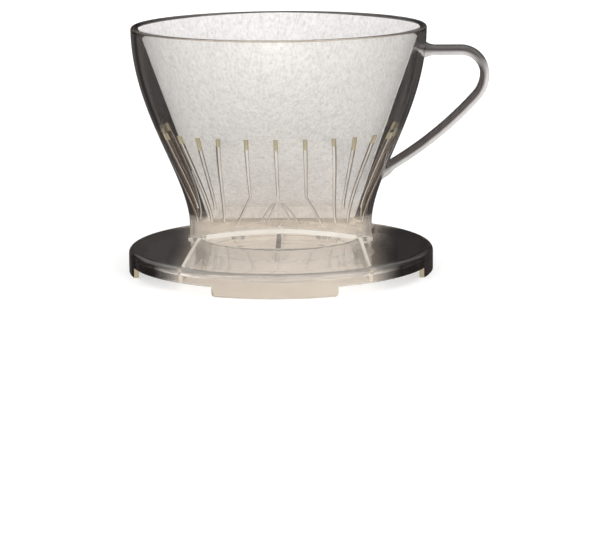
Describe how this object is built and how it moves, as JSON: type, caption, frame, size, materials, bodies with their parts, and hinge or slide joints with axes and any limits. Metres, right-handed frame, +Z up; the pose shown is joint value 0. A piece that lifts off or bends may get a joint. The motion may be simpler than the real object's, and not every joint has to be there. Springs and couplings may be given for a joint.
{
  "type": "pour over dripper",
  "caption": "Clear moulded pour over coffee dripper with an oval ribbed cone, round cup flange, loop handle and a loose paper filter.",
  "frame": {"origin": "centre of the locating ring's lower edge, on the cone's axis, in the plane that the dripper stands on", "axes": "+Z up along the cone's axis, +X towards the handle, -Y towards the front viewing window"},
  "size_m": [0.1442, 0.122, 0.098],
  "materials": {
    "clear_plastic": "clear styrene with a faint warm cast",
    "rib_plastic": "clear styrene seen edge on, faint olive glow",
    "window_plastic": "clear styrene, beige where it is lit",
    "wing_plastic": "clear styrene that looks dark grey over a dark ground",
    "handle_plastic": "clear styrene with dark and bright edges",
    "filter_paper": "fibrous white filter paper"
  },
  "bodies": {
    "dripper": {"cone_wall": "clear_plastic", "rim_bead": "clear_plastic", "front_ribs": "rib_plastic", "rear_ribs": "rib_plastic", "front_fork": "rib_plastic", "rear_fork": "rib_plastic", "base_collar": "clear_plastic", "left_collar_foot": "rib_plastic", "right_collar_foot": "rib_plastic", "drip_floor": "clear_plastic", "floor_crest": "rib_plastic", "left_outlet": "clear_plastic", "right_outlet": "clear_plastic", "centre_web": "clear_plastic", "front_throat": "window_plastic", "rear_throat": "window_plastic", "front_window": "window_plastic", "rear_window": "window_plastic", "front_left_land": "window_plastic", "front_right_land": "window_plastic", "rear_left_land": "window_plastic", "rear_right_land": "window_plastic", "left_wing": "wing_plastic", "right_wing": "wing_plastic", "rim_skirt": "wing_plastic", "front_tab": "window_plastic", "rear_tab": "window_plastic", "left_tab": "wing_plastic", "right_tab": "wing_plastic", "ring_collar": "window_plastic", "locating_ring": "window_plastic", "upper_handle_root": "rib_plastic", "handle_upper_bar": "handle_plastic", "handle_bow": "handle_plastic", "handle_lower_bar": "handle_plastic", "lower_handle_root": "rib_plastic"},
    "paper_filter": {"paper_wall": "filter_paper", "paper_foot_seam": "filter_paper", "paper_side_seam": "filter_paper"}
  },
  "joints": [
    {"name": "filter_lift", "type": "slide", "parent": "dripper", "child": "paper_filter", "axis": [0, 0, 1], "range_m": [0, 0.11]}
  ]
}
